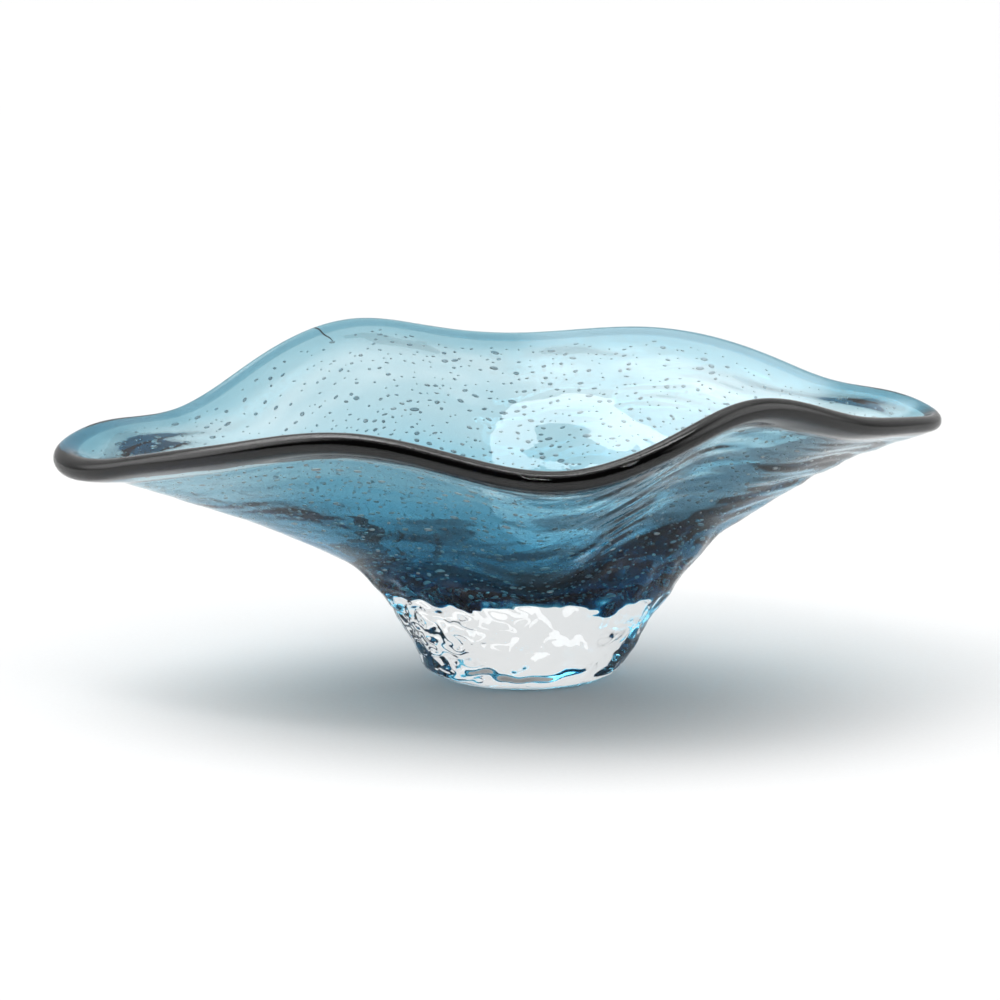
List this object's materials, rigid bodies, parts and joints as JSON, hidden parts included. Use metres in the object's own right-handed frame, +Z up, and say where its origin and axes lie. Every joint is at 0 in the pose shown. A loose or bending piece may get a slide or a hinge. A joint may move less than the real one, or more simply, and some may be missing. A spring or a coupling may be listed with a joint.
{
  "type": "art glass bowl",
  "caption": "Free-form art glass bowl: a smoke-blue seeded cup cased in clear glass, drawn out to two tips with a wavy fire-polished lip, on a heavy clear foot.",
  "frame": {"origin": "centre of the ground face under the foot", "axes": "+X along the bowl towards its pointed right tip, +Y to the rear, +Z up"},
  "size_m": [0.475, 0.3121, 0.1734],
  "materials": {
    "smoke_blue_glass": "fire-polished, full of seeds",
    "casing_glass": "fire-polished, slightly rippled",
    "lip_glass": "fire-polished",
    "foot_glass": "lumpy sides, ground and polished base"
  },
  "bodies": {
    "root": {"colour_layer": "smoke_blue_glass", "clear_casing": "casing_glass", "lip_bead": "lip_glass", "clear_foot": "foot_glass"}
  },
  "joints": []
}
